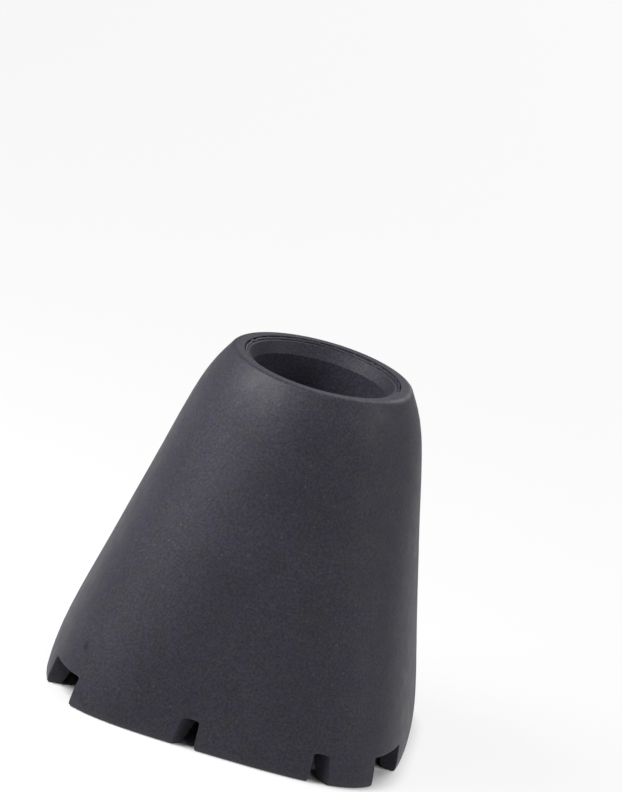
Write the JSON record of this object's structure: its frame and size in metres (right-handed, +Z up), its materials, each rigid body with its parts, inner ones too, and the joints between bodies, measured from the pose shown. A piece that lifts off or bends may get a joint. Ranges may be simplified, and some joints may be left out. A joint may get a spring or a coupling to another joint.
{
  "type": "rubber cane tip",
  "caption": "Moulded rubber tip for a walking cane: round collar with a blind bore for the shaft, flared body and a square, round-cornered foot with a notched skirt.",
  "frame": {"origin": "centre of the foot, on the floor that the tip stands on", "axes": "+Z up the bore's axis, out of the mouth; -Y out of the front side of the foot, as the picture shows it; +X to its right"},
  "size_m": [0.049, 0.049, 0.0486],
  "materials": {
    "black_rubber": "matte moulded rubber, charcoal black, with a faint soft sheen"
  },
  "bodies": {
    "root": {"tip": "black_rubber"}
  },
  "joints": []
}
